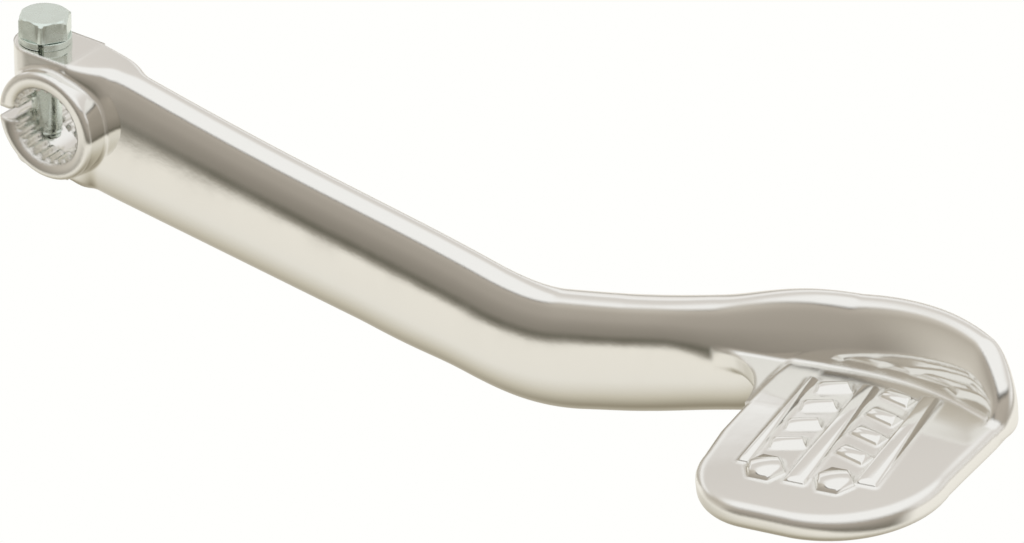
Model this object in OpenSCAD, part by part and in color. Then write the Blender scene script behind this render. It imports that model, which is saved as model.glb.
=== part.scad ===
// Kick start lever: a forged and chromed lever with a splined clamp boss,
// a deep cranked arm and an integral foot plate, with its pinch bolt.
// Millimetres. The origin is the centre of the bore on the inboard face of the boss.
// +Y points inboard along the bore, +X runs along the lever, +Z is the tread side.

/* [Boss] */
// Diameter across the tips of the spline teeth
bore_d = 17; // [16:0.5:18]
// Depth of each spline groove
spline_depth = 1.1; // [0.8:0.1:1.3]
// Number of spline grooves
spline_count = 24; // [20:1:26]
// Outer diameter of the round boss
boss_d = 26.6; // [26:0.2:28]
// Length of the boss along the bore
boss_len = 20.8; // [19.6:0.2:23]
// Chamfer of the outboard mouth of the bore
mouth_chamfer = 1.4; // [0.8:0.1:1.8]
// Chamfer round both outer edges of the boss
boss_edge = 0.8; // [0.4:0.1:1.2]

/* [Clamp] */
// Diameter of the pinch bolt
bolt_d = 7; // [6:0.5:7.5]
// Distance of the bolt's axis from the bore's axis
bolt_offset = 7.5; // [7.2:0.1:9]
// Width of the clamp lugs across the lever
lug_w = 14.4; // [13.6:0.2:16]
// Rise of the bolt's seat above the round boss
seat_rise = 2.5; // [2:0.1:4]
// Drop of the lower lug's foot below the round boss
foot_drop = 1; // [0.8:0.1:3]
// Width of the clamp slit
slit_w = 3; // [2:0.2:4]
// Clearance of the bolt's hole in the upper lug, on the diameter
hole_clearance = 0.6; // [0.4:0.1:1]
// Width across the flats of the bolt's head
hex_af = 11; // [10.6:0.2:12]
// Height of the bolt's head
head_h = 5; // [4:0.2:6]
// Thickness of the spring washer
washer_t = 1.8; // [1.4:0.1:2.2]
// Width of the spring washer's section
washer_rim = 2.4; // [1.8:0.1:2.6]
// Gap between the bolt's end and the lower lug's foot
bolt_end_gap = 0.8; // [0.4:0.1:2]

/* [Arm] */
// Width of the arm
arm_w = 10.6; // [9.6:0.2:12]
// Depth of the arm where it leaves the boss
arm_root_h = 31; // [29:0.5:32]
// Depth of the arm at the foot plate
arm_tip_h = 24; // [22:0.5:25]
// Distance of the bend from the bore's axis
bend_x = 123.4; // [118:0.5:130]
// Radius of the bend on the arm's centre line
bend_r = 45; // [35:1:55]
// Fall of the first stretch, in degrees
fall = 9.1; // [8:0.1:10]
// Rise of the second stretch, in degrees
rise = 22.3; // [21:0.1:23]
// Height of the arm's centre line above the bore's axis at the boss
arm_root_z = 2.1; // [1.6:0.1:2.6]
// Extra height of the arm on the inside of the bend
bend_fill = 3.7; // [3:0.1:4.4]
// Extra depth of the arm under the boss
root_drop = 4.2; // [3.6:0.1:4.6]
// Offset of the arm inboard of the middle of the boss
arm_offset = 1; // [0:0.2:1.8]

/* [Foot plate] */
// Distance of the plate's datum from the bore's axis
pad_x = 190; // [188:0.5:192]
// Distance of the plate's datum outboard of the arm's centre line
pad_out = 31; // [29:0.5:33]
// Height of the tread above the bore's axis at the datum
pad_z = 9.1; // [8.6:0.1:9.8]
// Thickness of the plate
pad_t = 5.4; // [5:0.1:7]
// Tilt of the tread along the lever, in degrees
pad_tilt = 12.6; // [11.6:0.2:13.6]
// Tilt of the tread across the lever, in degrees
pad_cant = 1.8; // [1:0.2:2.6]
// Height of the heel ridge above the tread
ridge_h = 13; // [11.5:0.5:14]
// Reach of the heel ridge round the plate's end
ridge_reach = 36.5; // [35.5:0.5:37.5]

/* [Tread] */
// Height of the bars and rungs above the tread
bar_h = 1.2; // [0.8:0.1:1.6]
// Width of the two wide bars
bar_w = 4.4; // [3.6:0.2:5]
// Width of the narrow bar
narrow_bar_w = 2.6; // [2:0.2:3]
// Spacing of the bars
bar_pitch = 12.7; // [12:0.1:13.2]
// Spacing of the rungs along the bars
rung_pitch = 7.1; // [6.4:0.1:7.3]
// Width of each rung
rung_w = 3.4; // [2.6:0.1:4]
// Number of rungs in each row
rung_count = 4; // [3:1:4]
// Slope of the rungs, in degrees
rung_angle = 20; // [14:1:24]
// Width of the studs across their flats
stud_af = 6.4; // [5.6:0.1:6.8]
// Height of the studs above the tread
stud_h = 1.6; // [1:0.1:2]

/* [Hidden] */
$fn = 64;

boss_mid = -boss_len / 2;
seat_h = boss_d / 2 + seat_rise;
lug_foot = boss_d / 2 + foot_drop;
arm_y = boss_mid + arm_offset;
bolt_hole_d = bolt_d + hole_clearance;
thread_gap = 0.12;
washer_hole_d = bolt_d + 0.4;
over = 1;

// The arm's centre line: a falling stretch, the bend and a rising stretch.
turn = fall + rise;
tangent_len = bend_r * tan(turn / 2);
bend_z = arm_root_z - bend_x * tan(fall);
bend_start_x = bend_x - tangent_len * cos(fall);
bend_start_z = bend_z + tangent_len * sin(fall);
root_x = 4;
blend_x = pad_x - 20;
blend_len = 27;
ridge_x = 197;
ridge_side = 22.5;
section_n = 26;
section_power = [3, 2.8];
block_power = 24;
arm_lean = 0.4;

function smooth(t) = let (c = min(max(t, 0), 1)) c * c * (3 - 2 * c);
function mix(a, b, t) = a + (b - a) * t;
function signed_power(v, p) = sign(v) * pow(abs(v), p);

// Height of the tread plane over any point of the plan.
pad_y = arm_y - pad_out;
function tread_z(x, y) = pad_z + tan(pad_tilt) * (x - pad_x) + tan(pad_cant) * (y - pad_y);

function arm_h(x) = mix(arm_root_h, arm_tip_h, min(x / 150, 1));
function arm_z(x) = bend_z + (x - bend_x) * tan(rise);
function neck_z(x) = arm_root_z - x * tan(fall);
// The clamp block narrows to the arm first on its outboard side and then on its inboard side.
outboard_len = 7;
inboard_len = 11;
inboard_x = root_x + 2;

// Extra height and depth along the arm: it is fuller inside the bend and hangs lower at the boss.
function bump(x, middle, spread) = exp(-pow((x - middle) / spread, 2));
fill_x = bend_x - 8.4;
fill_before = 52;
fill_after = 26;
tail_fill = 0.7;
tail_x = bend_x - 3.4;
tail_len = 30;
function fuller(x) =
    bend_fill * bump(x, fill_x, x < fill_x ? fill_before : fill_after) + tail_fill * smooth((x - tail_x) / tail_len);
drop_len = 85;
heel_lift = 1.1;
heel_x = bend_x - 12.4;
sag_x = bend_x + 25.6;
sag_spread = 12;
function deeper(x) =
    root_drop * max(1 - x / drop_len, 0) - heel_lift * bump(x, heel_x, sag_spread) + tail_fill * bump(x, sag_x, sag_spread);

// A station: [centre, across, up, half width, height above, depth below, squareness of both sides, lean].
function fall_station(x) = let (
    first = smooth((x - root_x) / outboard_len),
    later = smooth((x - inboard_x) / inboard_len),
    a = fall * first,
    outboard = mix(boss_mid - lug_w / 2, arm_y - arm_w / 2, first),
    inboard = mix(boss_mid + lug_w / 2, arm_y + arm_w / 2, later)
) [
    [x, (outboard + inboard) / 2, neck_z(x)],
    [0, 1, 0],
    [sin(a), 0, cos(a)],
    (inboard - outboard) / 2,
    mix(seat_h - neck_z(root_x), arm_h(x) / 2 + fuller(x), later),
    mix(lug_foot + neck_z(root_x), arm_h(x) / 2 + deeper(x), first),
    [mix(block_power, section_power[0], pow(first, 0.45)), mix(block_power, section_power[1], pow(later, 0.45))],
    0
];
function bend_station(a) = let (x = bend_start_x + bend_r * (sin(fall) + sin(a - fall))) [
    [x, arm_y, bend_start_z + bend_r * (cos(fall) - cos(a - fall))],
    [0, 1, 0],
    [-sin(a - fall), 0, cos(a - fall)],
    arm_w / 2,
    arm_h(x) / 2 + fuller(x),
    arm_h(x) / 2 + deeper(x),
    section_power,
    0
];
lean_x = pad_x - 32;
lean_len = 30;
function rise_station(x) = let (
    t = smooth((x - blend_x) / blend_len),
    a = mix(rise, pad_tilt, t)
) [
    [x, arm_y, mix(arm_z(x), tread_z(x, arm_y) + 0.5, t)],
    [0, 1, 0],
    [-sin(a), 0, cos(a)],
    arm_w / 2,
    mix(arm_h(x) / 2 + fuller(x), ridge_h, t),
    mix(arm_h(x) / 2 + deeper(x), pad_t - 2, t),
    section_power,
    arm_lean * smooth((x - lean_x) / lean_len)
];
// The ridge goes round the plate's end, sinks from its full height and is tucked into the rim at its tip.
tip_angle = 10;
ridge_swell = 1.2;
ridge_tuck = 5;
ridge_end_w = 6;
function ridge_station(a) = let (
    swell = ridge_swell * bump(a, 31, 18) - ridge_tuck * smooth((30 - a) / 22),
    x = ridge_x + (ridge_reach + swell) * cos(a),
    y = arm_y - ridge_side * (1 - sin(a)),
    out = [ridge_side * cos(a), ridge_reach * sin(a), 0],
    tip = smooth((a - tip_angle) / 32)
) [
    [x, y, tread_z(x, y) + 0.8 * sin(a) - 0.3 - 1.5 * (1 - tip)],
    out / norm(out),
    [-sin(pad_tilt), 0, cos(pad_tilt)],
    mix(ridge_end_w, arm_w, pow(sin(a), 0.7)) / 2 * mix(0.5, 1, tip),
    max((ridge_h * pow(sin(a), 0.42) + 2.1 * sin(2 * a)) * tip, 0.2),
    pad_t - 2.8,
    section_power,
    arm_lean
];

fall_steps = 11;
bend_steps = 7;
rise_start = bend_x + tangent_len * cos(rise);
rise_steps = 8;
ridge_steps = 12;
stations = concat(
    [for (i = [0:fall_steps - 1]) fall_station(mix(root_x, bend_start_x, pow(i / fall_steps, 1.9)))],
    [for (i = [0:bend_steps - 1]) bend_station(turn * i / bend_steps)],
    [for (i = [0:rise_steps - 1]) rise_station(mix(rise_start, ridge_x, pow(i / rise_steps, 0.8)))],
    [for (i = [0:ridge_steps]) ridge_station(mix(90, tip_angle - 3, i / ridge_steps))]
);

function section(s) = [
    for (k = [0:section_n - 1]) let (
        a = 360 * k / section_n,
        power = cos(a) < 0 ? s[6][0] : s[6][1],
        across = s[3] * signed_power(cos(a), 2 / power),
        up = (sin(a) > 0 ? s[4] : s[5]) * signed_power(sin(a), 2 / power),
        shift = s[7] * max(up, 0) / s[4] * (s[3] - across) / 2
    ) s[0] + s[1] * (across + shift) + s[2] * up
];

// Skins a list of rings that all have the same number of points.
module skin(rings) {
    n = len(rings[0]);
    m = len(rings);
    polyhedron(
        points = [for (r = rings) for (p = r) p],
        faces = concat(
            [[for (k = [0:n - 1]) k]],
            [for (i = [0:m - 2]) for (k = [0:n - 1]) [i * n + k, (i + 1) * n + k, (i + 1) * n + (k + 1) % n]],
            [for (i = [0:m - 2]) for (k = [0:n - 1]) [i * n + k, (i + 1) * n + (k + 1) % n, i * n + (k + 1) % n]],
            [[for (k = [n - 1:-1:0]) (m - 1) * n + k]]
        )
    );
}

module arm() {
    skin([for (s = stations) section(s)]);
}

// Round boss, with a chamfer round each end.
module boss() {
    rotate([90, 0, 0])
    rotate_extrude()
    polygon([
        [0, 0],
        [boss_d / 2 - boss_edge, 0],
        [boss_d / 2, boss_edge],
        [boss_d / 2, boss_len - boss_edge],
        [boss_d / 2 - boss_edge, boss_len],
        [0, boss_len]
    ]);
}

// The clamp lugs: one block with a round end about the bolt, later split by the slit.
module lugs() {
    translate([0, boss_mid, -lug_foot]) {
        translate([-bolt_offset, 0, 0])
        cylinder(d = lug_w, h = seat_h + lug_foot);
        translate([-bolt_offset, -lug_w / 2, 0])
        cube([bolt_offset + root_x + 0.3, lug_w, seat_h + lug_foot]);
    }
}

// One spline groove, a little narrower at its root than at its mouth.
groove_w = PI * bore_d / spline_count * 0.54;
module spline_groove() {
    rotate([90, 0, 0])
    translate([0, 0, -over])
    linear_extrude(boss_len + 2 * over)
    polygon([
        [bore_d / 2 - over, -groove_w / 2],
        [bore_d / 2 + spline_depth, -groove_w / 3],
        [bore_d / 2 + spline_depth, groove_w / 3],
        [bore_d / 2 - over, groove_w / 2]
    ]);
}

// The bore: spline teeth at each end, and a plain waist where the bolt crosses it.
waist_len = bolt_hole_d + 0.8;
module bore() {
    rotate([90, 0, 0])
    translate([0, 0, -over])
    cylinder(d = bore_d, h = boss_len + 2 * over);
    for (i = [0:spline_count - 1])
        rotate([0, 360 * (i + 0.5) / spline_count, 0])
        spline_groove();
    translate([0, boss_mid, 0])
    rotate([90, 0, 0])
    cylinder(r = bore_d / 2 + spline_depth, h = waist_len, center = true);
    translate([0, -boss_len, 0])
    rotate([90, 0, 0])
    translate([0, 0, -mouth_chamfer])
    cylinder(r1 = bore_d / 2, r2 = bore_d / 2 + mouth_chamfer + over, h = mouth_chamfer + over);
}

module slit() {
    translate([-bolt_offset - lug_w, -boss_len - over, -slit_w / 2])
    cube([bolt_offset + lug_w, boss_len + 2 * over, slit_w]);
}

// The bolt runs free in the upper lug and is screwed into the lower one.
module bolt_hole() {
    translate([-bolt_offset, boss_mid, -lug_foot - over])
    cylinder(d = bolt_d + thread_gap, h = seat_h + lug_foot + 2 * over);
    translate([-bolt_offset, boss_mid, 0])
    cylinder(d = bolt_hole_d, h = seat_h + over);
}

// The foot plate, in its own frame: u along the lever, v across it, the tread at zero.
corner_u = 7.2;
corner_v = -10.5;
corner_r = 14.8;
toe_u = 16.4;
toe_v = -3;
toe_a = 23.1;
toe_b = 22.3;
heel_v = pad_out + 1;
pad_outline = concat(
    [for (i = [0:8]) let (a = 180 + 90 * i / 8) [corner_u + corner_r * cos(a), corner_v + corner_r * sin(a)]],
    [for (i = [0:12]) let (a = 272 + 88 * i / 12) [toe_u + toe_a * cos(a), toe_v + toe_b * sin(a)]],
    [[40.2, 2.5], [41, 8], [41.9, 14.5], [42.3, 19], [41.4, 24], [37.5, 27.5]],
    [[30, heel_v - 2.5], [15, heel_v], [0, heel_v]],
    [[-6, heel_v - 3]],
    [[-7.2, 20], [-7.5, 8], [-7.7, -2]]
);
function inset(loop, d) = let (n = len(loop)) [
    for (i = [0:n - 1]) let (
        t = loop[(i + 1) % n] - loop[(i + n - 1) % n],
        inward = [-t[1], t[0]] / norm(t)
    ) loop[i] + inward * d
];
function lift(loop, z) = [for (p = loop) [p[0], p[1], z]];
edge_r = 1.8;
plate_rings = [
    lift(inset(pad_outline, edge_r), -pad_t),
    lift(inset(pad_outline, edge_r * 0.3), -pad_t + edge_r * 0.3),
    lift(pad_outline, -pad_t + edge_r),
    lift(pad_outline, -edge_r),
    lift(inset(pad_outline, edge_r * 0.3), -edge_r * 0.3),
    lift(inset(pad_outline, edge_r), 0)
];

// The web that rounds the inner corner between the arm and the plate.
web_u = -23;
web_v = 9;
web_a = 15.5;
web_b = pad_out - arm_w / 2 - web_v + 0.6;
module web_layer(low, high, back) {
    translate([0, 0, low])
    linear_extrude(high - low)
    polygon(concat(
        [for (i = [0:10]) let (a = 90 - 9 * i) [web_u + (web_a + back) * cos(a), web_v + (web_b + back) * sin(a)]],
        [[2, web_v], [2, pad_out - 1], [web_u, pad_out - 1]]
    ));
}
module web() {
    web_layer(-pad_t + 1.2, -1.3, 0);
    web_layer(-pad_t + 0.2, -0.5, 0.8);
    web_layer(-pad_t + 1, -0.1, 1.7);
}

// A raised bar with sloping sides: length along u, width along v, sunk a little into the plate.
sink = 0.4;
module bevelled_bar(length, width, height, slope) {
    top = [length / 2 - slope, width / 2 - slope];
    base = [length / 2, width / 2];
    skin([
        [[-base[0], -base[1], -sink], [base[0], -base[1], -sink], [base[0], base[1], -sink], [-base[0], base[1], -sink]],
        [[-base[0], -base[1], 0], [base[0], -base[1], 0], [base[0], base[1], 0], [-base[0], base[1], 0]],
        [[-top[0], -top[1], height], [top[0], -top[1], height], [top[0], top[1], height], [-top[0], top[1], height]]
    ]);
}

middle_u = 13.9;
bar_front = -11.5;
bar_back = 20.5;
first_rung_v = 19.6;
module bars() {
    bar_len = bar_back - bar_front;
    bar_v = (bar_back + bar_front) / 2;
    for (side = [-1, 0, 1])
        translate([middle_u + side * bar_pitch + (side < 0 ? 0.8 : 0), bar_v - (side == 0 ? 1.5 : 0), 0])
        rotate([0, 0, 90])
        bevelled_bar(bar_len + (side == 0 ? 4 : 0), side < 0 ? narrow_bar_w : bar_w, bar_h, bar_h * 0.7);
}

rung_gap = bar_pitch - bar_w / 2 - 3.4;
module rungs() {
    for (side = [-1, 1])
        for (i = [0:rung_count - 1])
            translate([middle_u + side * (bar_pitch / 2 + 0.3), first_rung_v - 1 - i * rung_pitch, 0])
            rotate([0, 0, -side * rung_angle])
            bevelled_bar(rung_gap, rung_w, bar_h, bar_h * 0.7);
}

stud_v = -12.2;
module studs() {
    for (side = [-1, 1])
        translate([middle_u + side * (bar_pitch / 2 + 0.6), stud_v, -sink])
        cylinder(d1 = (stud_af + 1) / cos(30), d2 = (stud_af - 1) / cos(30), h = stud_h + sink, $fn = 6);
}

module foot_plate() {
    translate([pad_x, pad_y, pad_z])
    rotate([pad_cant, -pad_tilt, 0]) {
        skin(plate_rings);
        web();
        bars();
        rungs();
        studs();
    }
}

module lever_body() {
    color("#d9d6cf")
    difference() {
        union() {
            arm();
            boss();
            lugs();
            foot_plate();
        }
        bore();
        slit();
        bolt_hole();
    }
}

// A hexagon with its two faces chamfered, standing on z = 0.
module chamfered_hex(height) {
    intersection() {
        cylinder(d = hex_af / cos(30), h = height, $fn = 6);
        rotate_extrude()
        polygon([
            [0, 0],
            [hex_af / 2, 0],
            [hex_af / 2 + 0.8, 0.5],
            [hex_af / 2 + 0.8, height - 0.5],
            [hex_af / 2 - 0.2, height],
            [0, height]
        ]);
    }
}

shank_len = seat_h + washer_t + lug_foot - bolt_end_gap;
module pinch_bolt() {
    color("#aebdb2")
    translate([-bolt_offset, boss_mid, seat_h + washer_t]) {
        chamfered_hex(head_h);
        translate([0, 0, -shank_len])
        rotate_extrude()
        polygon([
            [0, 0],
            [bolt_d / 2 - 0.7, 0],
            [bolt_d / 2, 0.7],
            [bolt_d / 2, shank_len + 0.2],
            [0, shank_len + 0.2]
        ]);
    }
}

washer_cut = 1;
module spring_washer() {
    color("#9fb0a6")
    translate([-bolt_offset, boss_mid, seat_h])
    difference() {
        cylinder(d = washer_hole_d + 2 * washer_rim, h = washer_t);
        translate([0, 0, -over])
        cylinder(d = washer_hole_d, h = washer_t + 2 * over);
        rotate([0, 0, -60])
        translate([washer_hole_d / 2 + washer_rim / 2, 0, washer_t / 2])
        rotate([25, 0, 0])
        cube([washer_rim * 2, washer_cut, washer_t * 3], center = true);
    }
}

lever_body();
pinch_bolt();
spring_washer();
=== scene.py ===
# %% [markdown]
# # A chromed kick start lever, built from nothing
# This lesson builds the visual model of a kick start lever over its CAD model.
# The CAD model is the frame: it gives the sizes, and every visual piece stays inside its box.
# The lever is one forging: a splined clamp boss, a cranked arm, a foot plate and a heel ridge.
# Everything is in millimetres here and is turned into metres when a mesh is made.

# %% The frame
import math

import bmesh
import bpy
from mathutils import Matrix, Vector


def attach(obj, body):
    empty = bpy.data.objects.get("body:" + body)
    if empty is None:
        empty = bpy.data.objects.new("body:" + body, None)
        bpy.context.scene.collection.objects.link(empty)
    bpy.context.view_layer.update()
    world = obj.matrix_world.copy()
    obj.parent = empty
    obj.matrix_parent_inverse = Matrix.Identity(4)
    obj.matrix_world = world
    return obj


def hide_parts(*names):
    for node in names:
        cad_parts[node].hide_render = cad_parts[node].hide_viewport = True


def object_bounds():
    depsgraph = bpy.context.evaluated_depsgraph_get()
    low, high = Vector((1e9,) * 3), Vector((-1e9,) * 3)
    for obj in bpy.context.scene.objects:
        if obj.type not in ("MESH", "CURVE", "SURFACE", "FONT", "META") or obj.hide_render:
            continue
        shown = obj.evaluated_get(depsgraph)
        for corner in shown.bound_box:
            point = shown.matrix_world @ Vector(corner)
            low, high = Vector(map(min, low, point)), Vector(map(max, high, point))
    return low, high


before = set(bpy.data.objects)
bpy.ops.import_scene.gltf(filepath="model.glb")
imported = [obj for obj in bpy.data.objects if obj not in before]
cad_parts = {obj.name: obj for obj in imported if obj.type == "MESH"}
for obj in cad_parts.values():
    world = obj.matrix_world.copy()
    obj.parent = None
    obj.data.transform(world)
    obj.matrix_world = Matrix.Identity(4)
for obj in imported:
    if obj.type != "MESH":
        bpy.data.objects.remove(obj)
sizes = {"cad_box": [list(corner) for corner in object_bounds()]}
print("nodes:", sorted(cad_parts))
print("CAD box:", sizes["cad_box"])

# %% [markdown]
# ## Sizes
# The numbers come from the CAD model, and the visual model repeats its formulas at a finer step.
# A few, such as FOOT and RIDGE_H, are up to 0.4 mm smaller than there.
# That keeps every visual piece inside the CAD box.
# The origin is the centre of the bore on the boss's inboard face.
# +Y points inboard along the bore, +X runs along the arm, +Z is the side of the tread.

# %% Sizes
MM = 0.001
# The splined bore, and the boss round it
BORE_R, SPLINE_DEPTH, SPLINES = 8.5, 1.1, 24
BOSS_R, BOSS_LEN = 13.3, 20.8
BOSS_MID = -BOSS_LEN / 2
# The pinch bolt, and the clamp block from its foot to the seat under the bolt's head
BOLT_X, BOLT_R, SEAT, FOOT = -7.5, 3.5, 15.8, -13.9
LUG_W, SLIT = 14.4, 3.0
HEX_AF, HEAD_H, WASHER_T = 11.0, 5.0, 1.8
# The arm falls from the boss, bends and rises. Angles are in degrees.
ARM_W, ROOT_H, TIP_H = 10.6, 31.0, 24.0
BEND_X, BEND_R, FALL, RISE = 123.4, 45.0, 9.1, 22.3
ROOT_X, ROOT_Z = 4.0, 2.1
ARM_Y = BOSS_MID + 1.0
# The foot plate is tilted along the arm and a little across it
PAD_X, PAD_OUT, PAD_Z, PAD_T, TILT, CANT = 190.0, 31.0, 9.1, 5.4, 12.6, 1.8
PAD_Y = ARM_Y - PAD_OUT
# The heel ridge, and the tread's bars
RIDGE_H, RIDGE_REACH, RIDGE_SIDE, RIDGE_X = 12.7, 36.5, 22.5, 197.0
BAR_H = 1.2
print("lever about", round(PAD_X + 61), "mm long")

# %% [markdown]
# ## Colours and finishes
# Each colour is written as an sRGB hex value, and one function turns it into linear light.
# The real lever is polished and chrome plated, so it mirrors the room and has little colour.
# The bolt and its washer are zinc plated, which is duller and a little green.
# An image could carry the small flaws. Noise was chosen, as it needs no file and fits any shape.
# A bevel in the normal rounds the seams, as the forging's own fillets do, and needs no faces.

# %% Materials
def colour(text):
    """An sRGB hex colour as linear light."""
    parts = [int(text[i : i + 2], 16) / 255 for i in (1, 3, 5)]
    return [p / 12.92 if p <= 0.04045 else ((p + 0.055) / 1.055) ** 2.4 for p in parts] + [1.0]


def node(tree, kind, links=(), **values):
    """Adds a shader or geometry node. values set its properties or its inputs, by name."""
    made = tree.nodes.new(kind)
    for name, value in values.items():
        if hasattr(made, name):
            setattr(made, name, value)
        else:
            made.inputs[name.replace("_", " ")].default_value = value
    for output, name in links:
        tree.links.new(output, made.inputs[name])
    return made


def remap(tree, source, low, high, first=0, last=1, **values):
    """Spreads the span from low to high over the span from first to last."""
    made = node(tree, "ShaderNodeMapRange", [(source, "Value")], **values)
    for label, value in (("From Min", low), ("From Max", high), ("To Min", first), ("To Max", last)):
        made.inputs[label].default_value = value
    return made


def metal(name, base, low, high, spots, rounding):
    """A metal whose roughness wanders from low to high over patches of about spots mm."""
    mat = bpy.data.materials.new(name)
    mat.use_nodes = True
    tree = mat.node_tree
    shader = tree.nodes["Principled BSDF"]
    shader.inputs["Metallic"].default_value = 1.0
    shader.inputs["Base Color"].default_value = colour(base)
    place = node(tree, "ShaderNodeTexCoord")
    spot = [(place.outputs["Object"], "Vector")]
    noise = node(tree, "ShaderNodeTexNoise", spot, Scale=1000 / spots, Detail=4.0)
    # The noise lies mostly between these two values
    rough = remap(tree, noise.outputs["Fac"], 0.35, 0.7, low, high)
    tree.links.new(rough.outputs["Result"], shader.inputs["Roughness"])
    edges = node(tree, "ShaderNodeBevel", Radius=rounding * MM)
    edges.samples = 6
    surface = [(noise.outputs["Fac"], "Height"), (edges.outputs["Normal"], "Normal")]
    bumps = node(tree, "ShaderNodeBump", surface, Strength=0.05, Distance=0.6 * MM)
    tree.links.new(bumps.outputs["Normal"], shader.inputs["Normal"])
    return mat


# Polished chrome gives long, clear reflections that blur a little in patches
CHROME = metal("polished_chrome", "#eeede9", 0.04, 0.11, 9.0, 1.4)
# The same chrome with tighter edges keeps the small bars of the tread crisp
TREAD = metal("polished_chrome_tread", "#eeede9", 0.04, 0.09, 4.0, 0.35)
# Zinc plate is satin: it blurs the room, so the bolt reads as another metal
ZINC = metal("zinc_plate", "#dfe8e1", 0.2, 0.32, 3.0, 0.3)
print("materials:", [m.name for m in (CHROME, TREAD, ZINC)])

# %% [markdown]
# ## Small tools
# A skin joins a list of rings. A prism is a skin between two heights, and a lathe turns a profile.
# A cut takes one shape out of another. All of them make closed meshes, as the cut needs.

# %% Tools
def make(name, points, faces, mat=CHROME, sharp=35):
    """A mesh object from points in mm, smooth except at edges sharper than an angle."""
    mesh = bpy.data.meshes.new(name)
    mesh.from_pydata([Vector(p) * MM for p in points], [], faces)
    work = bmesh.new()
    work.from_mesh(mesh)
    bmesh.ops.remove_doubles(work, verts=work.verts, dist=1e-7)
    bmesh.ops.recalc_face_normals(work, faces=work.faces)
    work.to_mesh(mesh)
    work.free()
    mesh.materials.append(mat)
    obj = bpy.data.objects.new(name, mesh)
    bpy.context.scene.collection.objects.link(obj)
    smooth(obj, sharp)
    return obj


def smooth(obj, sharp=35):
    """Smooth shading, with sharp edges where two faces meet at a larger angle."""
    obj.data.polygons.foreach_set("use_smooth", [True] * len(obj.data.polygons))
    obj.data.set_sharp_from_angle(angle=math.radians(sharp))


def skin(name, rings, **options):
    """A closed mesh over rings that all have the same number of points."""
    n = len(rings[0])
    points = [p for ring in rings for p in ring]
    faces = [list(range(n)), list(range(len(points) - n, len(points)))]
    for i in range(len(rings) - 1):
        for k in range(n):
            a, b = i * n + k, i * n + (k + 1) % n
            faces.append([a, b, b + n, a + n])
    return make(name, points, faces, **options)


def lathe(name, profile, steps=128, **options):
    """A solid turned about the Y axis from a closed profile of (radius, y)."""
    points, faces, n = [], [], len(profile)
    for k in range(steps):
        a = 2 * math.pi * k / steps
        points += [(r * math.cos(a), y, r * math.sin(a)) for r, y in profile]
    for k in range(steps):
        j = (k + 1) % steps
        for i in range(n):
            m = (i + 1) % n
            faces.append([k * n + i, k * n + m, j * n + m, j * n + i])
    return make(name, points, faces, **options)


def prism(name, outline, low, high):
    """A solid between two heights over one outline."""
    return skin(name, [[(x, y, z) for x, y in outline] for z in (low, high)])


def circle(radius, x=0, y=0, steps=64):
    """Points round a circle, of which the first lies towards +X."""
    turns = [2 * math.pi * k / steps for k in range(steps)]
    return [(x + radius * math.cos(a), y + radius * math.sin(a)) for a in turns]


def block(name, low, high):
    """A plain box between two corners."""
    (x0, y0, z0), (x1, y1, z1) = low, high
    return prism(name, [(x0, y0), (x1, y0), (x1, y1), (x0, y1)], z0, z1)


def bake(obj):
    """Applies the object's modifiers, through a new mesh."""
    mesh = bpy.data.meshes.new_from_object(obj.evaluated_get(bpy.context.evaluated_depsgraph_get()))
    obj.modifiers.clear()
    obj.data = mesh
    return obj


def cut(obj, *tools):
    """Takes the tools' shapes out of obj."""
    for tool in tools:
        step = obj.modifiers.new("cut", "BOOLEAN")
        step.operation, step.solver, step.object = "DIFFERENCE", "EXACT", tool
    bpy.context.view_layer.update()
    return bake(obj)


def drop(*objs):
    """Removes helper objects."""
    for obj in objs:
        bpy.data.objects.remove(obj)


def join(name, *objs):
    """One object from several, each of which keeps its finish."""
    work = bmesh.new()
    finishes = []
    for obj in objs:
        first, mat = len(work.faces), obj.data.materials[0]
        work.from_mesh(obj.data)
        if mat not in finishes:
            finishes.append(mat)
        work.faces.ensure_lookup_table()
        for face in work.faces[first:]:
            face.material_index = finishes.index(mat)
    mesh = bpy.data.meshes.new(name)
    work.to_mesh(mesh)
    work.free()
    for mat in finishes:
        mesh.materials.append(mat)
    obj = bpy.data.objects.new(name, mesh)
    bpy.context.scene.collection.objects.link(obj)
    drop(*objs)
    return obj


print("tools ready")

# %% [markdown]
# ## The arm and the heel ridge
# The arm is forged between two dies, so its section is rounded and changes slowly.
# Near the boss it is nearly square, and it grows rounder as it leaves the clamp block.
# At the foot plate the upper half doesn't stop: it sweeps round the plate's back and end as a ridge.
# A curve with a bevel would keep one section. So stations are computed along a centre line
# that falls, bends and rises, and each of them has its own section.

# %% Arm and ridge
def mix(a, b, t):
    """The value between a and b at the share t."""
    return a + (b - a) * t


def ease(t):
    """A soft step from 0 to 1."""
    c = min(max(t, 0), 1)
    return c * c * (3 - 2 * c)


def sind(a):
    return math.sin(math.radians(a))


def cosd(a):
    return math.cos(math.radians(a))


def tand(a):
    return math.tan(math.radians(a))


# Powers of the section on its outboard and inboard side: 2 is an ellipse, BOXY is nearly square
ROUND, BOXY = (3.0, 2.8), 24
LEAN, LEAN_X, LEAN_LEN = 0.4, 158, 30
# The clamp block's section turns into the arm's over these lengths, outboard first
OUTBOARD_LEN, INBOARD_START, INBOARD_LEN = 7, 2, 11
# The arm's line turns into the ridge's over LEVEL_LEN
LEVEL_X, LEVEL_LEN = PAD_X - 20, 27
# A slight narrowing keeps the sweep inside the CAD box
THIN, THIN_X, THIN_LEN = 0.3, 174, 23
# The ridge ends at TIP_ANGLE and drops over TIP_SPREAD. It narrows towards RIDGE_END_W, and the
# drop narrows its tip once more.
TIP_ANGLE, TIP_SPREAD, RIDGE_END_W = 10, 32, 6
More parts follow.
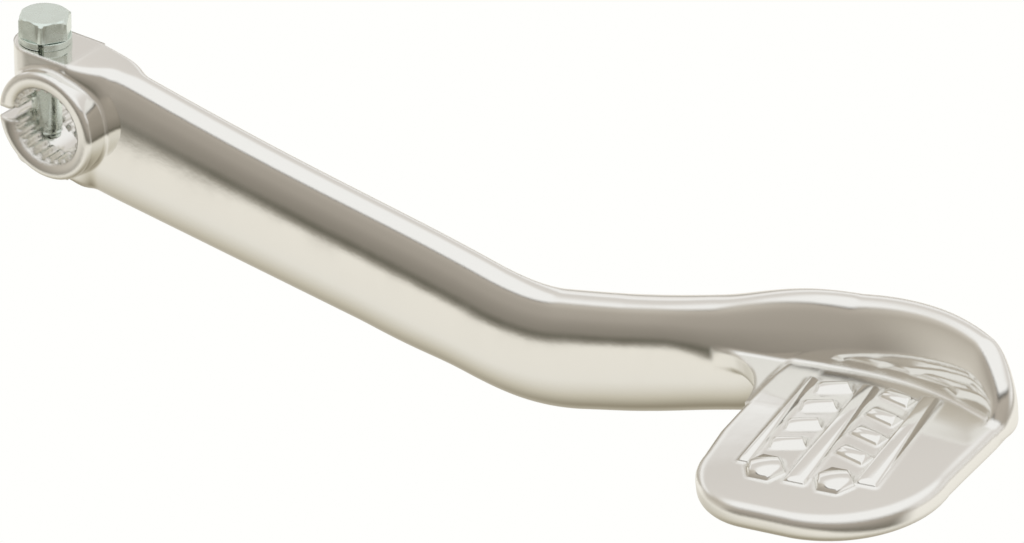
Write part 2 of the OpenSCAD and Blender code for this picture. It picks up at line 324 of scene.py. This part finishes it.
# Round the plate's end it swells a little near SWELL_AT and is drawn in by TUCK below TUCK_AT
SWELL_AT, SWELL_SPREAD = 31, 18
TUCK, TUCK_AT, TUCK_SPREAD = 5, 30, 22
# How far its centre line is lifted over the tread, and how far it sinks, at the tip and elsewhere
CREST_LIFT, CREST_SINK, TIP_SINK = 0.8, 0.3, 1.5
# How deep it reaches into the plate, where it starts and then all the way round
START_DEPTH, RIDGE_DEPTH = PAD_T - 2, PAD_T - 2.8
# The inside of the bend is filled near FILL_X, with a long slope before it and a short one after
FILL, FILL_X, FILL_BEFORE, FILL_AFTER = 3.7, 115, 52, 26
TAIL_FILL, TAIL_X, TAIL_LEN = 0.7, 120, 30
# The underside hangs lower by DROP at the boss and by SAG past the bend, and higher by HEEL_LIFT
DROP, DROP_LEN = 4.2, 85
HEEL_LIFT, HEEL_X = 1.35, 111
SAG, SAG_X, HILL = 0.7, 149, 12
TURN = FALL + RISE
TANGENT = BEND_R * tand(TURN / 2)
BEND_Z = ROOT_Z - BEND_X * tand(FALL)
BEND_START_X = BEND_X - TANGENT * cosd(FALL)
BEND_START_Z = BEND_Z + TANGENT * sind(FALL)


def bump(x, centre, spread):
    """A smooth hill of height 1."""
    return math.exp(-(((x - centre) / spread) ** 2))


def tread_z(x, y):
    """Height of the tread's plane over a point of the plan."""
    return PAD_Z + tand(TILT) * (x - PAD_X) + tand(CANT) * (y - PAD_Y)


def arm_h(x):
    """The arm's height shrinks evenly as far as x 150."""
    return mix(ROOT_H, TIP_H, min(x / 150, 1))


def fuller(x):
    """The inside of the bend is fuller than the straight arm, and stays a little so past it."""
    spread = FILL_BEFORE if x < FILL_X else FILL_AFTER
    return FILL * bump(x, FILL_X, spread) + TAIL_FILL * ease((x - TAIL_X) / TAIL_LEN)


def deeper(x):
    """The underside hangs a little lower near the boss and past the bend, and less at the bend."""
    near_boss = DROP * max(1 - x / DROP_LEN, 0)
    return near_boss - HEEL_LIFT * bump(x, HEEL_X, HILL) + SAG * bump(x, SAG_X, HILL)


def neck_z(x):
    """Height of the falling centre line."""
    return ROOT_Z - x * tand(FALL)


def fall_station(x):
    """The clamp block's section turns into the arm's, first on the outboard side and then inboard."""
    first = ease((x - ROOT_X) / OUTBOARD_LEN)
    later = ease((x - ROOT_X - INBOARD_START) / INBOARD_LEN)
    a = FALL * first
    up = mix(SEAT - neck_z(ROOT_X), arm_h(x) / 2 + fuller(x), later)
    down = mix(neck_z(ROOT_X) - FOOT, arm_h(x) / 2 + deeper(x), first)
    outboard = mix(BOSS_MID - LUG_W / 2, ARM_Y - ARM_W / 2, first)
    inboard = mix(BOSS_MID + LUG_W / 2, ARM_Y + ARM_W / 2, later)
    powers = (mix(BOXY, ROUND[0], first**0.45), mix(BOXY, ROUND[1], later**0.45))
    centre = (x, (outboard + inboard) / 2, neck_z(x))
    return centre, (0, 1, 0), (sind(a), 0, cosd(a)), (inboard - outboard) / 2, up, down, powers, 0


def bend_station(a):
    """The bend is an arc, and a is the angle turned so far."""
    x = BEND_START_X + BEND_R * (sind(FALL) + sind(a - FALL))
    z = BEND_START_Z + BEND_R * (cosd(FALL) - cosd(a - FALL))
    up, down = arm_h(x) / 2 + fuller(x), arm_h(x) / 2 + deeper(x)
    return (x, ARM_Y, z), (0, 1, 0), (-sind(a - FALL), 0, cosd(a - FALL)), ARM_W / 2, up, down, ROUND, 0


def rise_station(x):
    """The rising line turns into the ridge, which is level with the tread."""
    t = ease((x - LEVEL_X) / LEVEL_LEN)
    a = mix(RISE, TILT, t)
    z = mix(BEND_Z + (x - BEND_X) * tand(RISE), tread_z(x, ARM_Y) + CREST_LIFT - CREST_SINK, t)
    up = mix(arm_h(x) / 2 + fuller(x), RIDGE_H, t)
    down = mix(arm_h(x) / 2 + deeper(x), START_DEPTH, t)
    thin = THIN * ease((x - THIN_X) / THIN_LEN)
    lean = LEAN * ease((x - LEAN_X) / LEAN_LEN)
    return (x, ARM_Y + thin, z), (0, 1, 0), (-sind(a), 0, cosd(a)), ARM_W / 2 - thin, up, down, ROUND, lean


def ridge_station(a):
    """The ridge follows an ellipse round the plate's end, from 90 degrees down to its tip."""
    s = sind(a)
    swell = bump(a, SWELL_AT, SWELL_SPREAD) - TUCK * ease((TUCK_AT - a) / TUCK_SPREAD)
    x = RIDGE_X + (RIDGE_REACH + swell) * cosd(a)
    y = ARM_Y - RIDGE_SIDE * (1 - s)
    out = Vector((RIDGE_SIDE * cosd(a), RIDGE_REACH * s, 0)).normalized()
    tip = ease((a - TIP_ANGLE) / TIP_SPREAD)
    up = max((RIDGE_H * s**0.42 + 2.1 * sind(2 * a)) * tip, 0.2)
    half = mix(RIDGE_END_W, ARM_W, s**0.7) / 2 * mix(0.5, 1, tip)
    z = tread_z(x, y) + CREST_LIFT * s - CREST_SINK - TIP_SINK * (1 - tip)
    centre = Vector((x, y, z)) + out * THIN
    return centre, out, (-sind(TILT), 0, cosd(TILT)), half - THIN, up, RIDGE_DEPTH, ROUND, LEAN


def section(station, n=72):
    """The rounded section: a superellipse whose inner side leans back towards the crest."""
    centre, across, up, half, above, below, powers, lean = station
    ring = []
    for k in range(n):
        c, s = math.cos(2 * math.pi * k / n), math.sin(2 * math.pi * k / n)
        power = powers[0] if c < 0 else powers[1]
        u = half * math.copysign(abs(c) ** (2 / power), c)
        v = (above if s > 0 else below) * math.copysign(abs(s) ** (2 / power), s)
        u += lean * half * max(v, 0) / above * (1 - u / half) / 2
        ring.append(Vector(centre) + Vector(across) * u + Vector(up) * v)
    return ring


RISE_START = BEND_X + TANGENT * cosd(RISE)
stations = [fall_station(mix(ROOT_X, BEND_START_X, (i / 60) ** 1.6)) for i in range(60)]
stations += [bend_station(TURN * i / 28) for i in range(28)]
stations += [rise_station(mix(RISE_START, RIDGE_X, i / 60)) for i in range(60)]
stations += [ridge_station(mix(90, TIP_ANGLE - 3, i / 90)) for i in range(91)]
arm = skin("arm", [section(s) for s in stations])
print("arm:", len(arm.data.polygons), "faces")

# %% [markdown]
# ## The foot plate
# The plate is forged flat in one piece with the arm, and the foot pushes on it.
# A flat face with a bevel modifier could make it. Rings of points were chosen, because each ring
# of the rounded rim can be drawn in from the outline by an exact amount.
# The outline is drawn in the plate's own frame, then tilted with the tread.
# A web rounds the inner corner between the arm and the plate.

# %% Foot plate
PLATE = Matrix.Translation(Vector((PAD_X, PAD_Y, PAD_Z))) @ Matrix.Rotation(math.radians(-TILT), 4, "Y")
PLATE = PLATE @ Matrix.Rotation(math.radians(CANT), 4, "X")


def on_plate(p):
    """A point of the plate's own frame, moved into the part's frame."""
    return PLATE @ Vector(p)


def arc(cx, cy, rx, ry, start, sweep, steps):
    """Points on an ellipse's arc, from the angle start over the angle sweep."""
    angles = [start + sweep * i / steps for i in range(steps + 1)]
    return [(cx + rx * cosd(a), cy + ry * sind(a)) for a in angles]


def plate_outline():
    """The same corner points as in the CAD model, with finer arcs."""
    loop = arc(7.6, -10.5, 14.5, 14.7, 180, 90, 24)
    loop += arc(16.4, -3, 23.1, 22.3, 272, 88, 36)
    loop += [(40.2, 2.5), (41, 8), (41.9, 14.5), (42.3, 19), (41.4, 24), (37.5, 27.5)]
    loop += [(30, 29.5), (15, 32), (0, 32), (-6, 29)]
    return loop + [(-7.2, 20), (-7.5, 8), (-7.7, -2)]


def inset(loop, d):
    """The outline drawn in by d, each point at a right angle to its neighbours' line."""
    out = []
    for i, (x, y) in enumerate(loop):
        tx = loop[(i + 1) % len(loop)][0] - loop[i - 1][0]
        ty = loop[(i + 1) % len(loop)][1] - loop[i - 1][1]
        size = math.hypot(tx, ty)
        out.append((x - ty / size * d, y + tx / size * d))
    return out


def rounded_plate(name, loop, low, high, radius, steps=6):
    """A plate with both rims rounded."""
    rings = []
    for i in range(steps + 1):
        a = 90 * i / steps
        edge = inset(loop, radius * (1 - sind(a)))
        depth = radius * (1 - cosd(a))
        rings.insert(i, [on_plate((x, y, low + depth)) for x, y in edge])
        rings.insert(i + 1, [on_plate((x, y, high - depth)) for x, y in edge])
    return skin(name, rings, sharp=50)


RIM_R = 1.8
WEB_X, WEB_V, WEB_LEN = -23, 9.0, 15.5
plate = rounded_plate("plate", plate_outline(), -PAD_T, 0, RIM_R)
web_loop = arc(WEB_X, WEB_V, WEB_LEN, PAD_OUT - ARM_W / 2 - WEB_V + 0.6, 90, -90, 20)
web_loop += [(2, WEB_V), (2, PAD_OUT - 1), (WEB_X, PAD_OUT - 1)]
web = skin("web", [[on_plate((x, y, z)) for x, y in web_loop] for z in (-PAD_T + 0.9, -0.4)])
print("plate:", len(plate.data.polygons), "faces")

# %% [markdown]
# ## The tread
# The raised pattern keeps the boot from slipping. It is one metal with the plate.
# Three bars run across the plate, two rows of sloping rungs stand between them,
# and two hexagonal studs stand at the front.
# A bump texture could show it from afar, but real edges catch the light and cover what is behind.
# The rungs repeat, so Geometry Nodes place them: points in a row, one rung on each point.

# %% Tread
def raised(name, length, width, height, slope, depth=0.4):
    """A bar with sloping sides, standing on z = 0 and sunk a little below it."""
    def ring(x, y, z):
        return [(-x, -y, z), (x, -y, z), (x, y, z), (-x, y, z)]
    x, y = length / 2, width / 2
    lower = [ring(x + 0.15, y + 0.15, -depth), ring(x, y, 0)]
    upper = [ring(x - slope, y - slope, height * 0.9), ring(x - slope - 0.35, y - slope - 0.35, height)]
    return skin(name, lower + upper, mat=TREAD, sharp=12)


def set_on_plate(obj, u, v, turn=0):
    """Moves the mesh itself onto the plate, so that the object stays at the origin."""
    spot = Matrix.Translation(Vector((u, v, 0)) * MM) @ Matrix.Rotation(math.radians(turn), 4, "Z")
    frame_in_m = Matrix.Translation(PLATE.to_translation() * MM) @ PLATE.to_3x3().to_4x4()
    obj.data.transform(frame_in_m @ spot)
    return obj


# Along the plate: the middle bar, and how far the bars, rungs and studs stand from it
MID_U, BAR_STEP, RUNG_STEP, STUD_STEP = 13.9, 12.7, 6.65, 6.95
# Across the plate: where each row of rungs begins, and where the studs stand
RUNG_V, STUD_V = 18.6, -12.2
RUNG_LEN, RUNG_W, RUNG_PITCH, RUNG_TURN, RUNGS = 7.1, 3.4, 7.1, 20, 4
BAR_SLOPE = BAR_H * 0.7
STUD_LAYERS = ((4.2, -0.4), (4.1, 0.1), (3.55, 1.2), (2.9, 1.6))

tread = []
# The bar nearest the boss is narrower than the others and stands a little closer to the middle
for side, width, length, v in ((-1, 2.6, 32, 4.5), (0, 4.4, 36, 3.0), (1, 4.4, 32, 4.5)):
    bar = raised("bar", length, width, BAR_H, BAR_SLOPE)
    nearer = 0.8 if side < 0 else 0
    tread.append(set_on_plate(bar, MID_U + side * BAR_STEP + nearer, v, 90))
for side in (-1, 1):
    layers = [[(x, y, z) for x, y in circle(r, steps=6)] for r, z in STUD_LAYERS]
    stud = skin("stud", layers, mat=TREAD, sharp=12)
    tread.append(set_on_plate(stud, MID_U + side * STUD_STEP, STUD_V))


def new_tree(name, **inputs):
    """An empty Geometry Nodes tree with its inputs, and the node that hands them in."""
    tree = bpy.data.node_groups.new(name, "GeometryNodeTree")
    for label, kind in inputs.items():
        tree.interface.new_socket(label, in_out="INPUT", socket_type="NodeSocket" + kind)
    tree.interface.new_socket("Geometry", in_out="OUTPUT", socket_type="NodeSocketGeometry")
    return tree, node(tree, "NodeGroupInput")


def hand_out(tree, inputs, geometry):
    """Makes the geometry real, gives it its finish and hands it out."""
    real = node(tree, "GeometryNodeRealizeInstances", [(geometry, "Geometry")])
    links = [(real.outputs[0], "Geometry"), (inputs.outputs["Finish"], "Material")]
    finish = node(tree, "GeometryNodeSetMaterial", links)
    node(tree, "NodeGroupOutput", [(finish.outputs[0], "Geometry")])
    return tree


def rung_row(name, turn):
    """A Geometry Nodes tree that sets one rung on each point of a row along v."""
    tree, inputs = new_tree(name, Rung="Object", Count="Int", Pitch="Float", Finish="Material")
    step = node(tree, "ShaderNodeCombineXYZ", [(inputs.outputs["Pitch"], "Y")])
    row = [(inputs.outputs["Count"], "Count"), (step.outputs[0], "Offset")]
    line = node(tree, "GeometryNodeMeshLine", row)
    shape = node(tree, "GeometryNodeObjectInfo", [(inputs.outputs["Rung"], "Object")])
    links = [(line.outputs[0], "Points"), (shape.outputs["Geometry"], "Instance")]
    place = node(tree, "GeometryNodeInstanceOnPoints", links)
    place.inputs["Rotation"].default_value = (0, 0, math.radians(turn))
    return hand_out(tree, inputs, place.outputs[0])


def grown(name, tree, **inputs):
    """Runs a Geometry Nodes tree on an empty mesh and bakes the result."""
    obj = bpy.data.objects.new(name, bpy.data.meshes.new(name))
    bpy.context.scene.collection.objects.link(obj)
    step = obj.modifiers.new("nodes", "NODES")
    step.node_group = tree
    for item in tree.interface.items_tree:
        if item.in_out == "INPUT" and item.name in inputs:
            step[item.identifier] = inputs[item.name]
    bpy.context.view_layer.update()
    return bake(obj)


for side in (-1, 1):
    rung = raised("rung", RUNG_LEN, RUNG_W, BAR_H, BAR_SLOPE)
    slanted = rung_row("rung_row", -side * RUNG_TURN)
    row = grown("rungs", slanted, Rung=rung, Count=RUNGS, Pitch=-RUNG_PITCH * MM, Finish=TREAD)
    tread.append(set_on_plate(row, MID_U + side * RUNG_STEP, RUNG_V))
    drop(rung)
print("tread pieces:", len(tread))

# %% [markdown]
# ## The clamp boss
# The boss slides over a splined shaft, and the pinch bolt draws its slit together.
# The boss is round, so a lathe turns it. A block with a round end carries the bolt.
# The slit and the bolt's hole could be drawn into both. Cuts were chosen, as a saw and a drill
# make them on the real one, and both pieces then match.
# The spline's teeth repeat, so Geometry Nodes place them round the bore in two bands.

# %% Clamp boss
WALL_R = BORE_R + SPLINE_DEPTH - 0.2
# The tool that clears the boss's inside from the lug and the arm, the bolt's hole, the boss's rim
CORE_R, HOLE_R, CORNER = 12.8, 3.8, 1
profile = arc(BOSS_R - CORNER, -CORNER, CORNER, CORNER, 90, -90, 6)
profile += arc(BOSS_R - CORNER, CORNER - BOSS_LEN, CORNER, CORNER, 0, -90, 6)
profile += [(10.1, -BOSS_LEN), (WALL_R, -BOSS_LEN + 0.5), (WALL_R, 0)]
boss = lathe("boss", profile, sharp=40)
slit = block("slit", (-30, -BOSS_LEN - 1, -SLIT / 2), (0, 1, SLIT / 2))
hole = prism("hole", circle(HOLE_R, BOLT_X, BOSS_MID), 0, 30)
cut(boss, slit, hole)
lug_outline = arc(BOLT_X, BOSS_MID, LUG_W / 2 - 0.05, LUG_W / 2, 90, 180, 36)
lug_outline += [(ROOT_X + 0.05, BOSS_MID - LUG_W / 2), (ROOT_X + 0.05, BOSS_MID + LUG_W / 2)]
lug = prism("lug", lug_outline, FOOT, SEAT)
core_profile = [(0.001, -BOSS_LEN - 1), (CORE_R, -BOSS_LEN - 1), (CORE_R, 1), (0.001, 1)]
inside = lathe("inside", core_profile)
cut(lug, inside, slit, hole)
smooth(lug)
cut(arm, inside)
smooth(arm)
smooth(boss, 40)
drop(slit, hole, inside)


def ring_of_teeth():
    """A Geometry Nodes tree that sets teeth round a circle, leaving out the one at the slit."""
    kinds = {"Tooth": "Object", "Count": "Int", "Left out": "Int", "Finish": "Material"}
    tree, inputs = new_tree("ring_of_teeth", **kinds)
    points = node(tree, "GeometryNodePoints", [(inputs.outputs["Count"], "Count")])
    index = node(tree, "GeometryNodeInputIndex")
    same = node(tree, "FunctionNodeCompare", data_type="INT", operation="NOT_EQUAL")
    whole = [s for s in same.inputs if s.type == "INT"]
    tree.links.new(index.outputs[0], whole[0])
    tree.links.new(inputs.outputs["Left out"], whole[1])
    shape = node(tree, "GeometryNodeObjectInfo", [(inputs.outputs["Tooth"], "Object")])
    share = [(index.outputs[0], 0), (inputs.outputs["Count"], 1)]
    part = node(tree, "ShaderNodeMath", share, operation="DIVIDE")
    turn = node(tree, "ShaderNodeMath", [(part.outputs[0], 0)], operation="MULTIPLY")
    turn.inputs[1].default_value = 2 * math.pi
    turned = node(tree, "ShaderNodeCombineXYZ", [(turn.outputs[0], "Y")])
    links = [(points.outputs[0], "Points"), (same.outputs[0], "Selection")]
    links += [(shape.outputs["Geometry"], "Instance"), (turned.outputs[0], "Rotation")]
    place = node(tree, "GeometryNodeInstanceOnPoints", links)
    return hand_out(tree, inputs, place.outputs[0])


# Half the length of the plain waist between the two bands of teeth
WAIST = 4.2
teeth = []
tree = ring_of_teeth()
left_out = {"Left out": SPLINES // 2}
# Radius and half width of a tooth, from its root in the wall to its flat top
flank = [(WALL_R + 0.3, 0.75), (BORE_R + 0.12, 0.5), (BORE_R, 0.42)]
around = [(r, -z) for r, z in flank] + flank[::-1]
for low, high in ((-BOSS_LEN + 1.1, BOSS_MID - WAIST), (BOSS_MID + WAIST, -0.02)):
    tooth = skin("tooth", [[(r, y, z) for r, z in around] for y in (low, high)], sharp=30)
    teeth.append(grown("teeth", tree, Tooth=tooth, Count=SPLINES, Finish=CHROME, **left_out))
    drop(tooth)
lever = join("lever", arm, plate, web, boss, lug, *tread, *teeth)
lever.data.set_sharp_from_angle(angle=math.radians(38))
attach(lever, "root")
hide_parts("lever_body")
print("lever:", len(lever.data.polygons), "faces")

# %% [markdown]
# ## The pinch bolt and its washer
# The bolt's head is a hexagon with a turned chamfer: each point stops at the flat or the chamfer.
# The thread could be a bump texture. A helix was chosen, because it keeps its edge seen from the side.
# The spring washer is a split ring whose ends stand a little apart, so it is swept round in steps.

# %% Fasteners
def hexagon(name, low, high):
    """A hexagonal prism with a round chamfer at the top and a slight one at the foot."""
    steps, rings, flat_r = 96, [], HEX_AF / 2
    reach = flat_r / cosd(30)
    levels = [(low, reach - 0.3), (low + 0.15, reach), (high - 0.8, reach)]
    levels += [(high - 0.35, flat_r + 0.3), (high, flat_r - 0.2)]
    for z, limit in levels:
        ring = []
        for k in range(steps):
            a = 360 * k / steps
            flat = flat_r / cosd((a % 60) - 30)
            ring.append((BOLT_X + min(flat, limit) * cosd(a), BOSS_MID + min(flat, limit) * sind(a), z))
        rings.append(ring)
    return skin(name, rings, mat=ZINC, sharp=25)


def thread_tree():
    """A Geometry Nodes tree for a thread: a helix with a small pointed section."""
    kinds = {"Turns": "Float", "Radius": "Float", "Height": "Float", "Ridge": "Float"}
    tree, inputs = new_tree("thread", **kinds, Finish="Material")
    spiral = [(inputs.outputs["Turns"], "Rotations"), (inputs.outputs["Height"], "Height")]
    spiral += [(inputs.outputs["Radius"], end) for end in ("Start Radius", "End Radius")]
    helix = node(tree, "GeometryNodeCurveSpiral", spiral, Resolution=24)
    width = [(inputs.outputs["Ridge"], "Radius")]
    profile = node(tree, "GeometryNodeCurvePrimitiveCircle", width, Resolution=4)
    curves = [(helix.outputs[0], "Curve"), (profile.outputs[0], "Profile Curve")]
    swept = node(tree, "GeometryNodeCurveToMesh", curves)
    swept.inputs["Fill Caps"].default_value = True
    return hand_out(tree, inputs, swept.outputs[0])


BOLT_TOP = SEAT + WASHER_T
BOLT_LOW = FOOT + 0.8
# An M7 thread has a pitch of 1 mm
THREAD_LEN, PITCH = 6.0, 1.0
head = hexagon("head", BOLT_TOP, BOLT_TOP + HEAD_H)
shank = prism("shank", circle(BOLT_R, BOLT_X, BOSS_MID), BOLT_LOW + 7, BOLT_TOP + 0.1)
shank.data.materials[0] = ZINC
layers = ((BOLT_R - 0.7, BOLT_LOW), (BOLT_R - 0.4, BOLT_LOW + 0.3), (BOLT_R - 0.4, BOLT_LOW + 7.2))
rings = [[(x, y, z) for x, y in circle(r, BOLT_X, BOSS_MID, 48)] for r, z in layers]
core = skin("core", rings, mat=ZINC)
thread = {"Turns": THREAD_LEN / PITCH, "Height": THREAD_LEN * MM, "Ridge": 0.4 * MM}
helix = grown("helix", thread_tree(), Radius=(BOLT_R - 0.42) * MM, Finish=ZINC, **thread)
helix.data.transform(Matrix.Translation(Vector((BOLT_X, BOSS_MID, BOLT_LOW + 0.7)) * MM))
bolt = join("bolt", head, shank, core, helix)
bolt.data.set_sharp_from_angle(angle=math.radians(25))

# The washer's radii, the angle at its split and the split's width, and how far one end stands
# above the other
WASHER_IN, WASHER_OUT, SPLIT_AT, SPLIT, LIFT = 3.75, 6.1, -60, 12, 0.12
turns, rows = 90, []
half = WASHER_T / 2 - 0.07
for i in range(turns + 1):
    a = SPLIT_AT + SPLIT / 2 + (360 - SPLIT) * i / turns
    mid = SEAT + WASHER_T / 2 + LIFT * (i / turns - 0.5)
    low, high = mid - half, mid + half
    row = [(WASHER_IN, low), (WASHER_OUT - 0.1, low), (WASHER_OUT, low + 0.12)]
    row += [(WASHER_OUT, high - 0.12), (WASHER_OUT - 0.1, high), (WASHER_IN, high)]
    rows.append([(BOLT_X + r * cosd(a), BOSS_MID + r * sind(a), z) for r, z in row])
washer = skin("washer", rows, mat=ZINC, sharp=30)
for piece, name in ((bolt, "pinch_bolt"), (washer, "spring_washer")):
    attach(piece, "root")
    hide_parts(name)
print("fasteners:", bolt.name, washer.name)

# %% [markdown]
# ## The studio
# The background is white to the camera. Reflections see a studio instead.
# Lamps and boards could light it. A world of colours was chosen, because polished chrome shows
# only what surrounds it, and each band can be set by itself.
# Below is a pale floor, and above is a bright ceiling.
# On the camera's side a dark band stands between them, which draws the dark stripe on the arm.
# Far towards -X that band fades into a paler wall.
# Behind the lever the walls are pale, which keeps the top of the arm and the tread light.

# %% Studio
scene = bpy.context.scene
world = bpy.data.worlds.new("studio")
scene.world = world
world.use_nodes = True
tree = world.node_tree
tree.nodes.clear()
where = node(tree, "ShaderNodeTexCoord")
axes = node(tree, "ShaderNodeSeparateXYZ", [(where.outputs["Generated"], "Vector")])
height = remap(tree, axes.outputs["Z"], -1, 1)
soft = {"interpolation_type": "SMOOTHSTEP"}
behind = remap(tree, axes.outputs["Y"], -0.25, 0.2, **soft)
aside = remap(tree, axes.outputs["X"], -0.85, -0.45, 1, 0, **soft)


def ramp(stops):
    """A colour ramp over the height of a direction, from -1 straight down to 1 straight up."""
    made = node(tree, "ShaderNodeValToRGB", [(height.outputs["Result"], "Fac")])
    ends = made.color_ramp.elements
    ends[0].position, ends[0].color = (stops[0][0] + 1) / 2, colour(stops[0][1])
    ends[1].position, ends[1].color = (stops[-1][0] + 1) / 2, colour(stops[-1][1])
    for z, text in stops[1:-1]:
        ends.new((z + 1) / 2).color = colour(text)
    return made


def blend(share, first, second):
    """Mixes two colours: a share of 0 gives the first, and 1 the second."""
    links = [(share.outputs[0], 0), (first, 6), (second, 7)]
    return node(tree, "ShaderNodeMix", links, data_type="RGBA").outputs[2]


floor = [(-1, "#8f8773"), (-0.8, "#cfc9b9"), (-0.62, "#f1eee6"), (-0.505, "#f6f2e9")]
dark_band = [(-0.475, "#9a958a"), (-0.44, "#6b685d"), (-0.38, "#8f897f")]
wall = [(-0.1, "#aaa399"), (0.2, "#b0a99f"), (0.44, "#bdb5ab")]
ceiling = [(0.5, "#5d5b55"), (0.56, "#ffffff")]
front = ramp(floor + dark_band + wall + ceiling)
rear_low = [(-0.9, "#b5ae9e"), (-0.5, "#f7f4ec"), (-0.1, "#fffcf6"), (0.06, "#a8a197")]
rear_high = [(0.16, "#f4f1ee"), (0.34, "#ffffff"), (0.42, "#dedad6"), (0.62, "#e4e0dc"), (0.75, "#ffffff")]
rear = ramp(rear_low + rear_high)
side_low = [(-1, "#8f8773"), (-0.6, "#f1eee6"), (-0.3, "#d2ccc2")]
side_high = [(0.2, "#bdb6ab"), (0.5, "#d8d2c9"), (0.6, "#ffffff")]
side = ramp(side_low + side_high)
near = blend(aside, front.outputs[0], side.outputs[0])
sky = blend(behind, near, rear.outputs[0])
studio = node(tree, "ShaderNodeBackground", [(sky, "Color")])
white = node(tree, "ShaderNodeBackground", Color=colour("#fffffd"))
path = node(tree, "ShaderNodeLightPath")
seen = [(path.outputs["Is Camera Ray"], 0), (studio.outputs[0], 1), (white.outputs[0], 2)]
both = node(tree, "ShaderNodeMixShader", seen)
node(tree, "ShaderNodeOutputWorld", [(both.outputs[0], "Surface")])
print("studio nodes:", len(tree.nodes))

# %% [markdown]
# ## The camera
# The photo's camera was solved from the boss's circles, the bolt's hexagon, the arm's edges
# and the tread's bars.
# Its position, its three axes and its focal length are given here as numbers.

# %% Camera

camera_data = bpy.data.cameras.new("camera")
camera = bpy.data.objects.new("camera", camera_data)
scene.collection.objects.link(camera)
scene.camera = camera
camera_data.lens = 87.866
camera_data.clip_start = 0.01
right = Vector((0.85898, 0.50606, 0.07782))
up = Vector((-0.32770, 0.42663, 0.84298))
back = Vector((0.39340, -0.74960, 0.53230))
turned = Matrix((right, up, back)).transposed().to_4x4()
camera.matrix_world = Matrix.Translation(Vector((326.70, -407.84, 283.98)) * MM) @ turned
scene.view_settings.view_transform = "Standard"
print("camera at", [round(v, 3) for v in camera.matrix_world.translation])

# %% Finish
sizes["visual_box"] = [list(corner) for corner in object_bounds()]
for low, high in zip(*sizes["visual_box"]):
    print("axis from", round(low * 1000, 2), "to", round(high * 1000, 2), "mm")
